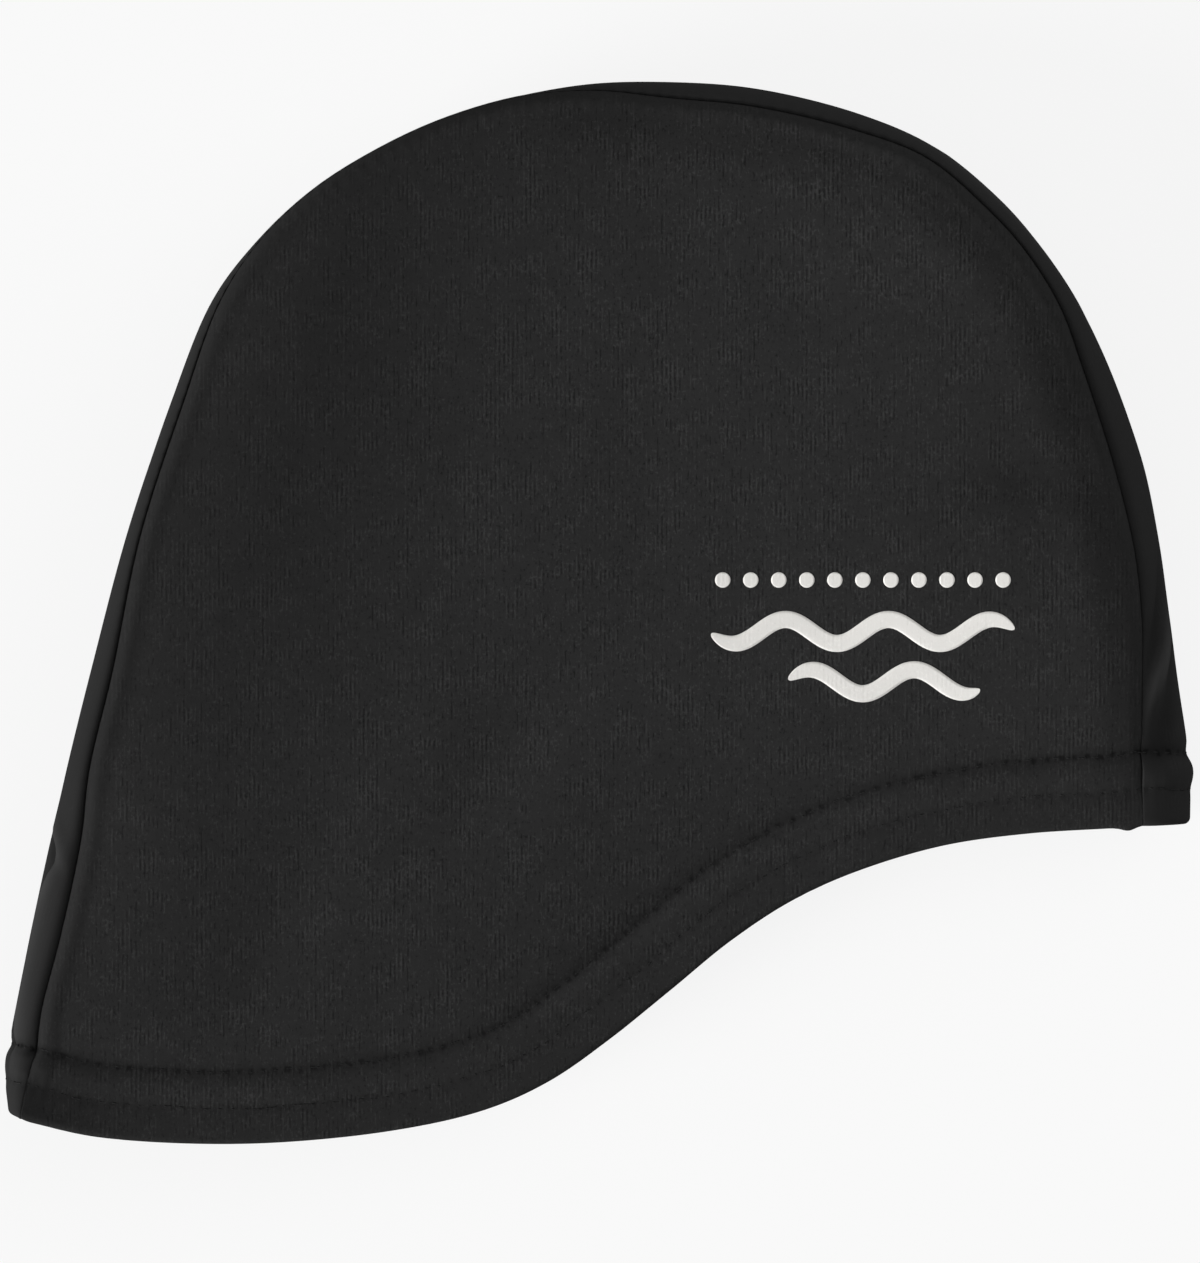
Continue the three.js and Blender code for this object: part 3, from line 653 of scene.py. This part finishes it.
def panel_points(rim, seam):
    """A panel's points: the hem's rows beside the rim, and a patch filled in between its sides."""
    back, front, top = (SIDES[side][seam] for side in ("back", "front", "top"))
    inward = inward_from(rim)
    u = column_share[:, None]
    rows = []
    for reach, start, end in zip(hem_at, back, front):
        row = rim + inward * reach
        shift = (start - row[0]) * (1 - bank(u / HEM_BEND))
        shift = shift + (end - row[-1]) * (1 - bank((1 - u) / HEM_BEND))
        rows.append(row + shift)
    bottom = rows[-1]
    for v, left, right in zip(body_share, back[HEM_ROWS:], front[HEM_ROWS:]):
        row = bottom * (1 - v) + top * v + left * (1 - u) + right * u
        row = row - (bottom[0] * (1 - u) + bottom[-1] * u) * (1 - v)
        rows.append(row - (top[0] * (1 - u) + top[-1] * u) * v)
    return np.array(rows)


def nearest(line, reach, points):
    """Distance in plan from each point to a line, and how far along the line that is."""
    tree = KDTree(len(line))
    for index, place in enumerate(line):
        tree.insert((place[0], place[1], 0), index)
    tree.balance()
    places = points[..., :2].reshape(-1, 2)
    found = np.array([tree.find((x, y, 0))[1] for x, y in places])
    apart = np.full(len(places), np.inf)
    at = np.zeros(len(places))
    for first in (np.maximum(found - 1, 0), np.minimum(found, len(line) - 2)):
        start = line[first, :2]
        run = line[first + 1, :2] - start
        share = np.clip(((places - start) * run).sum(1) / (run**2).sum(1), 0, 1)
        away = np.linalg.norm(places - start - run * share[:, None], axis=1)
        closer = away < apart
        apart[closer] = away[closer]
        at[closer] = (reach[first] + share * (reach[first + 1] - reach[first]))[closer]
    return apart.reshape(points.shape[:2]), at.reshape(points.shape[:2])


def drape(points, amount):
    """The slight unevenness of cloth that lies by itself."""
    rise = [noise.noise(Vector((x * 24, y * 24, 3.7))) + 0.4 * noise.noise(Vector((x * 70, y * 70, 8.1)))
            for x, y in points[..., :2].reshape(-1, 2)]
    return amount * np.array(rise).reshape(points.shape[:2])


def edge_roll(to_seam, seam_at):
    """A panel's edge beside its seam: a soft roll above the strip, which turns down at the end."""
    height, place, width = EDGE_ROLL
    roll = height * hump(to_seam - place, width) * seam_pull(seam_at, 0.15)
    return roll - EDGE_DROP[0] * np.exp(-to_seam / EDGE_DROP[1]) * seam_pull(seam_at, 0.06)


def draw_back(points):
    """Draws a panel's edges back from the seam by half of the gap."""
    points[:, -1] -= front_side["outward"] * SEAM_GAP / 2
    points[:, 0] -= back_side["outward"] * SEAM_GAP / 2
    points[-1, 1:-1] -= top_seams["outward"][1:-1] * SEAM_GAP / 2


def panel_mesh(name, points, seam, faces_down):
    """The closed cloth of one panel, and its outer and inner faces."""
    to_seam, seam_at = nearest(stations(seam_reach[::4])[seam], seam_reach[::4], points)
    to_rim, rim_at = nearest(rim_line, rim_reach, points)
    to_rim[:HEM_ROWS] = hem_at[:, None]
    to_rim[HEM_ROWS:] = np.maximum(to_rim[HEM_ROWS:], HEM_END)
    normals = grid_normals(points) * (-1 if faces_down else 1)
    normals = turn_towards(normals, stations(seam_at)[seam + "_face"], to_seam)
    relief = hem_relief(to_rim, rim_at) + edge_roll(to_seam, seam_at) * above_hem(to_rim)
    outer = points + normals * relief[..., None]
    if faces_down:
        outer[..., 2] = np.maximum(outer[..., 2], 0)
    inner = outer - normals * hem_wall(to_rim)[..., None]
    grids = [outer, inner, to_seam, to_rim, seam_at, rim_at]
    if faces_down:
        grids = [grid[:, ::-1] for grid in grids]
    outer, inner, to_seam, to_rim, seam_at, rim_at = grids
    mesh = closed_cloth(name, outer, inner, [np.s_[0, :]], (to_seam, to_rim), (seam_at, rim_at))
    return mesh, outer, inner


u = column_share[:, None]
rim_height = seam_ends["upper"][1, 2] * (1 - column_share) + seam_ends["upper"][0, 2] * column_share
rim_height = rim_height * (1 - MOUTH_SAG * np.sin(math.pi * column_share))
right_rim = np.column_stack([along(rim_line, rim_reach, column_at), rim_height])
left_rim = right_rim + inward_from(right_rim) * RIM_INSET * np.sin(math.pi * u)
left_rim += (seam_ends["lower"][1] - right_rim[0]) * (1 - u)
left_rim += (seam_ends["lower"][0] - right_rim[-1]) * u
right_points = panel_points(right_rim, "upper")
bulge_share = ALLOWANCE_BUMP[0] * hump(rim_length - column_at - ALLOWANCE_BUMP[1], ALLOWANCE_BUMP[2])
bulge = inward_from(right_rim) * bulge_share[:, None]
for row, reach in enumerate(hem_at):
    right_points[row] -= bulge * (1 - reach / HEM_END) ** 2
to_seam, seam_at = nearest(seam_line + CAP_SHIFT, seam_reach, right_points)
to_rim = nearest(rim_line, rim_reach, right_points)[0]
to_rim[:HEM_ROWS] = hem_at[:, None]
roll = np.interp(seam_at / seam_length, [0.18, 0.3, 0.58, 0.7],
                 [ROLL_FRONT, ROLL_TOP, ROLL_TOP, ROLL_BACK])
level = bank(to_seam / roll)
right_points[..., 2] += CROWN_RISE * level * bank(to_rim / ROLL_RIM)
for x, y, *fold in PANEL_FOLDS:
    dx = right_points[..., 0] - x * CAP_LENGTH - CAP_SHIFT[0]
    dy = right_points[..., 1] - y * CAP_HEIGHT - CAP_SHIFT[1]
    right_points[..., 2] -= level * fold_depth(*fold, dx, dy)
right_points[..., 2] += level * drape(right_points, DRAPE)
draw_back(right_points)
right_mesh, right_outer, right_inner = panel_mesh(
    "side_panel_right_cloth", right_points, "upper", False)
right_panel = piece_from("side_panel_right_cloth", right_mesh)

left_points = panel_points(left_rim, "lower")
lower_seam = stations(seam_reach[::4])["lower"]
left_to_seam = nearest(lower_seam, seam_reach[::4], left_points)[0]
left_points[..., 2] = SEAM_LIFT * (1 - bank(left_to_seam / LIFT_REACH))
draw_back(left_points)
left_mesh, left_outer, left_inner = panel_mesh(
    "side_panel_left_cloth", left_points, "lower", True)
left_panel = piece_from("side_panel_left_cloth", left_mesh)

panel_knit = cloth_material(
    "panel knit", 0.0068, 0.0338,
    ("ShaderNodeTexCoord", {}, "Object"), 0, (0.0005, 0.12), 0.00007)
right_mesh.materials.append(panel_knit)
left_mesh.materials.append(panel_knit)
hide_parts("side_panel_right")
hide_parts("side_panel_left")


# The stitches. Two parallel rows of black thread hold the hem all the way round the opening, over
# the panels and the strip. A twin-needle machine makes them, about four stitches to a centimetre.
THREAD = 0.00032
STITCH_RUN = 0.00185  # the part of a stitch that shows between two needle holes


def along_hem(grid, reach):
    """The points of one piece's hem at this distance from the rim, not quite in line."""
    columns = np.arange(grid.shape[1])
    wander = 0.00016 * np.sin(columns / 4.7) + 0.0001 * np.sin(columns / 1.9)
    row = np.interp(reach + wander, hem_at, np.arange(HEM_ROWS))
    low = np.minimum(row.astype(int), HEM_ROWS - 2)
    share = (row - low)[:, None]
    return grid[low, columns] * (1 - share) + grid[low + 1, columns] * share


def stitch_line(reach):
    """The loop that a row of stitches follows round the opening, and which way its cloth faces."""
    front, back = np.s_[::-1, :HEM_ROWS], np.s_[:, :-HEM_ROWS - 1:-1]
    loop = [
        (right_outer, right_inner),
        (strip_outer[front].swapaxes(0, 1), strip_inner[front].swapaxes(0, 1)),
        (left_outer, left_inner),
        (strip_outer[back].swapaxes(0, 1), strip_inner[back].swapaxes(0, 1))]
    outer, inner = (np.concatenate([along_hem(pair[side], reach) for pair in loop]) for side in (0, 1))
    return outer, unit(outer - inner)


def stitch_tree():
    """Geometry nodes that lay one short run of thread at each stitch of a row."""
    tree, identifiers = node_group(
        "row of stitches", "GeometryNodeTree",
        {"Row": ("Geometry", None), "Pitch": ("Float", STITCH_PITCH), "Run": ("Float", STITCH_RUN),
         "Thread": ("Float", THREAD), "Shortest": ("Vector", (0.3, 0.7, 0.1)),
         "Longest": ("Vector", (1.1, 1.0, 1.0)), "Seed": ("Int", 5), "Finish": ("Material", None)},
        {"Stitches": "Geometry"})
    align = "FunctionNodeAlignRotationToVector"
    add_nodes(tree, {
        "in": ("NodeGroupInput", {}, {}),
        "path": ("GeometryNodeMeshToCurve", {}, {"Mesh": ("in", "Row")}),
        "stitches": ("GeometryNodeResampleCurve", {"mode": "LENGTH"}, {
            "Curve": ("path", "Curve"), "Length": ("in", "Pitch")}),
        "half": math_step("MULTIPLY", ("in", "Run"), 0.5),
        "minus half": math_step("MULTIPLY", ("in", "Run"), -0.5),
        "dip": math_step("MULTIPLY", ("in", "Thread"), -0.55),
        "rise": math_step("MULTIPLY", ("in", "Thread"), 0.6),
        "start": ("ShaderNodeCombineXYZ", {}, {"X": ("minus half", 0), "Z": ("dip", 0)}),
        "middle": ("ShaderNodeCombineXYZ", {}, {"Z": ("rise", 0)}),
        "end": ("ShaderNodeCombineXYZ", {}, {"X": ("half", 0), "Z": ("dip", 0)}),
        "thread": ("GeometryNodeCurveQuadraticBezier", {}, {
            "Resolution": 5, "Start": ("start", 0), "Middle": ("middle", 0), "End": ("end", 0)}),
        "radius": math_step("MULTIPLY", ("in", "Thread"), 0.5),
        "round": ("GeometryNodeCurvePrimitiveCircle", {}, {"Resolution": 6, "Radius": ("radius", 0)}),
        "solid": ("GeometryNodeCurveToMesh", {}, {
            "Curve": ("thread", "Curve"), "Profile Curve": ("round", "Curve"), "Fill Caps": True}),
        "smooth": ("GeometryNodeSetShadeSmooth", {}, {"Geometry": ("solid", "Mesh")}),
        "heading": ("GeometryNodeInputTangent", {}, {}),
        "face": ("GeometryNodeInputNamedAttribute", {"data_type": "FLOAT_VECTOR"}, {"Name": "face"}),
        "lie": (align, {"axis": "Z"}, {"Vector": ("face", "Attribute")}),
        "turn": (align, {"axis": "X", "pivot_axis": "Z"}, {
            "Rotation": ("lie", "Rotation"), "Vector": ("heading", 0)}),
        "uneven": ("FunctionNodeRandomValue", {"data_type": "FLOAT_VECTOR"}, {
            0: ("in", "Shortest"), 1: ("in", "Longest"), "Seed": ("in", "Seed")}),
        "place": ("GeometryNodeInstanceOnPoints", {}, {
            "Points": ("stitches", "Curve"), "Instance": ("smooth", "Geometry"),
            "Rotation": ("turn", "Rotation"), "Scale": ("uneven", "Value")}),
        "real": ("GeometryNodeRealizeInstances", {}, {"Geometry": ("place", "Instances")}),
        "finish": ("GeometryNodeSetMaterial", {}, {
            "Geometry": ("real", "Geometry"), "Material": ("in", "Finish")}),
        "out": ("NodeGroupOutput", {}, {"Stitches": ("finish", "Geometry")}),
    })
    return tree, identifiers


def thread_material():
    """Black polyester thread: a fine twist, a little shinier than the cloth."""
    return new_material("stitch thread", {
        "place": ("ShaderNodeTexCoord", {}, {}),
        "twist": ("ShaderNodeTexWave", {"wave_type": "BANDS", "bands_direction": "DIAGONAL"}, {
            "Vector": ("place", "Object"), "Scale": 900.0, "Distortion": 1.5}),
        "tone": tint(("twist", "Fac"), grey(0.006), grey(0.016)),
        "bump": ("ShaderNodeBump", {}, {
            "Strength": 0.5, "Distance": 0.00006, "Height": ("twist", "Fac")}),
        "shader": ("ShaderNodeBsdfPrincipled", {}, {
            "Base Color": ("tone", 2), "Normal": ("bump", 0), "Roughness": 0.7,
            "Specular IOR Level": 0.15}),
        "out": ("ShaderNodeOutputMaterial", {}, {"Surface": ("shader", 0)}),
    })


row_tree, row_sockets = stitch_tree()
thread_finish = thread_material()
for row_name, reach, seed in (("lower", LOWER_STITCH, 5), ("upper", HEM_DEPTH, 11)):
    places, faces = stitch_line(reach)
    places[:, 2] = np.maximum(places[:, 2], 0.65 * THREAD)
    path = bpy.data.meshes.new("stitch path")
    loop = [(i, (i + 1) % len(places)) for i in range(len(places))]
    path.from_pydata(places.tolist(), loop, [])
    path.attributes.new("face", "FLOAT_VECTOR", "POINT").data.foreach_set("vector", faces.ravel())
    holder = bpy.data.objects.new("stitch path", path)
    bpy.context.scene.collection.objects.link(holder)
    modifier = holder.modifiers.new("stitches", "NODES")
    modifier.node_group = row_tree
    modifier[row_sockets["Seed"]] = seed
    modifier[row_sockets["Finish"]] = thread_finish
    evaluated = holder.evaluated_get(bpy.context.evaluated_depsgraph_get())
    stitches = bpy.data.meshes.new_from_object(evaluated)
    holder.modifiers.remove(modifier)
    bpy.data.objects.remove(holder)
    stitch_row = piece_from(f"hem_stitches_{row_name}", stitches)

# The print. A thin off-white film pressed onto the right panel over the ear: a lane line of small
# floats above two plain waves.
PRINT_PLACE = np.array([0.0463, -0.0036]) + CAP_SHIFT[:2]
PRINT_FILM = 0.00009
FILM_LIFT = 0.00001  # the film's underside clears the cloth
WAVE_LENGTH = 0.0180
WAVES = (  # start, end, height over the middle, thickness, depth of the wave, shift along it
    (-0.0265, 0.0265, 0.0008, 0.0030, 0.0021, 0.0),
    (-0.0130, 0.0205, -0.0080, 0.0030, 0.0021, 0.0045),
)
FLOAT_RADIUS = 0.00135
FLOAT_PITCH = 0.0049
FLOAT_HEIGHT = 0.0098
FLOAT_COUNT = 11
right_tree = BVHTree.FromPolygons(
    right_outer.reshape(-1, 3).tolist(), grid_faces(*right_outer.shape[:2]).tolist())
film = bmesh.new()


def press_film(places):
    """Adds one closed patch of film, whose places on the panel are given row by row."""
    hits = [right_tree.ray_cast(Vector((x, y, 0.2)), Vector((0, 0, -1)))[0]
            for x, y in (places + PRINT_PLACE).reshape(-1, 2)]
    base = np.array(hits).reshape(*places.shape[:2], 3)
    up = np.array([0, 0, 1])
    share = np.zeros(places.shape[:2])
    faces = base + up * PRINT_FILM, base + up * FILM_LIFT
    patch = closed_cloth("film", *faces, [], (share, share), (share, share))
    film.from_mesh(patch)
    bpy.data.meshes.remove(patch)


for start, end, height, thickness, depth, shift in WAVES:
    x = start + (end - start) * (1 - np.cos(np.linspace(0, math.pi, 140))) / 2
    angle = 2 * math.pi * (x - shift) / WAVE_LENGTH
    line = np.column_stack([x, height + depth * np.sin(angle)])
    slope = depth * 2 * math.pi / WAVE_LENGTH * np.cos(angle)
    side = unit(np.column_stack([-slope, np.ones_like(x)]))
    tip = np.minimum(x - start, end - x) / (2.2 * thickness)
    half = thickness / 2 * np.sqrt(np.clip(1 - (1 - np.clip(tip, 0.002, 1)) ** 2, 0, 1))
    press_film(np.array([line + side * (half * place)[:, None] for place in np.linspace(-1, 1, 7)]))
disc = np.linspace(-1, 1, 9)
disc_x, disc_y = np.meshgrid(disc, disc)
disc_round = np.stack(
    [disc_x * np.sqrt(1 - disc_y**2 / 2), disc_y * np.sqrt(1 - disc_x**2 / 2)], axis=-1)
for number in range(FLOAT_COUNT):
    middle = np.array([(number - (FLOAT_COUNT - 1) / 2) * FLOAT_PITCH, FLOAT_HEIGHT])
    press_film(disc_round * FLOAT_RADIUS + middle)
print_mesh = bpy.data.meshes.new("print_film")
film.to_mesh(print_mesh)
film.free()
print_mesh.shade_smooth()


def print_material():
    """Off-white screen print, matt, with the knit's ribs just showing through it."""
    return new_material("off-white print", {
        "place": ("ShaderNodeTexCoord", {}, {}),
        "knit": ("ShaderNodeGroup", {"node_tree": knit}, {"Place": ("place", "Object")}),
        "tone": tint(("knit", "Tone"), (0.70, 0.685, 0.655, 1), (0.80, 0.785, 0.755, 1)),
        "bump": ("ShaderNodeBump", {}, {
            "Strength": 0.25, "Distance": 0.00006, "Height": ("knit", "Height")}),
        "shader": ("ShaderNodeBsdfPrincipled", {}, {
            "Base Color": ("tone", 2), "Normal": ("bump", 0), "Roughness": 0.55,
            "Specular IOR Level": 0.3}),
        "out": ("ShaderNodeOutputMaterial", {}, {"Surface": ("shader", 0)}),
    })


print_mesh.materials.append(print_material())
printed = piece_from("print_film", print_mesh)

# The floor, the light and the camera. A plain pale floor that shows evenly lit, a wide soft key
# light low on the nape's side, a weaker one on the forehead's side, weak light from above and all
# round, and a camera straight above.
FLOOR_REACH = 8.0
FLOOR_DROP = 0.00005
PHOTO_SCALE = 0.00017523  # metres to a pixel of the photograph
PHOTO_ROWS = 1263
PHOTO_ASIDE = 2, -16  # pixels from the cap's middle to the photograph's
OUTLINE_HEIGHT = 0.012  # above the floor, where that scale holds
LENS = 800
floor_mesh = bpy.data.meshes.new("floor")
floor_mesh.from_pydata(
    [(x * FLOOR_REACH, y * FLOOR_REACH, -FLOOR_DROP) for x, y in ((-1, -1), (1, -1), (1, 1), (-1, 1))],
    [], [(0, 1, 2, 3)])
floor = bpy.data.objects.new("floor", floor_mesh)
bpy.context.scene.collection.objects.link(floor)
floor_mesh.materials.append(new_material("pale floor", {
    "rays": ("ShaderNodeLightPath", {}, {}),
    "glow": math_step("MULTIPLY", ("rays", "Is Camera Ray"), 0.865),
    "shader": ("ShaderNodeBsdfPrincipled", {}, {
        "Base Color": grey(0.09), "Roughness": 0.9, "Specular IOR Level": 0.0,
        "Emission Color": grey(1), "Emission Strength": ("glow", 0)}),
    "out": ("ShaderNodeOutputMaterial", {}, {"Surface": ("shader", 0)}),
}))

world = bpy.data.worlds.new("soft room")
world.use_nodes = True
world.node_tree.nodes.clear()
add_nodes(world.node_tree, {
    "rays": ("ShaderNodeLightPath", {}, {}),
    "room": ("ShaderNodeBackground", {}, {"Color": grey(1), "Strength": 0.20}),
    "backdrop": ("ShaderNodeBackground", {}, {"Color": grey(0.94), "Strength": 1.0}),
    "choice": ("ShaderNodeMixShader", {}, {
        0: ("rays", "Is Camera Ray"), 1: ("room", 0), 2: ("backdrop", 0)}),
    "out": ("ShaderNodeOutputWorld", {}, {"Surface": ("choice", 0)}),
})
bpy.context.scene.world = world
bpy.context.scene.view_settings.view_transform = "Standard"

for light_name, towards, width, strength in (
        ("key", (-1.0, -0.45, 0.31), 32, 4.8), ("fill", (0.8, 0.45, 0.42), 46, 1.25),
        ("top", (0.0, 0.1, 1.0), 80, 0.4)):
    lamp = bpy.data.lights.new(light_name, "SUN")
    lamp.angle = math.radians(width)
    lamp.energy = strength
    light = bpy.data.objects.new(light_name, lamp)
    light.rotation_euler = (-Vector(towards)).to_track_quat("-Z", "Y").to_euler()
    bpy.context.scene.collection.objects.link(light)

camera_data = bpy.data.cameras.new("camera")
camera_data.lens = LENS
camera = bpy.data.objects.new("camera", camera_data)
camera.location = (
    PHOTO_ASIDE[0] * PHOTO_SCALE + CAP_SHIFT[0], PHOTO_ASIDE[1] * PHOTO_SCALE + CAP_SHIFT[1],
    OUTLINE_HEIGHT + PHOTO_ROWS * PHOTO_SCALE * LENS / camera_data.sensor_width)
bpy.context.scene.collection.objects.link(camera)
bpy.context.scene.camera = camera
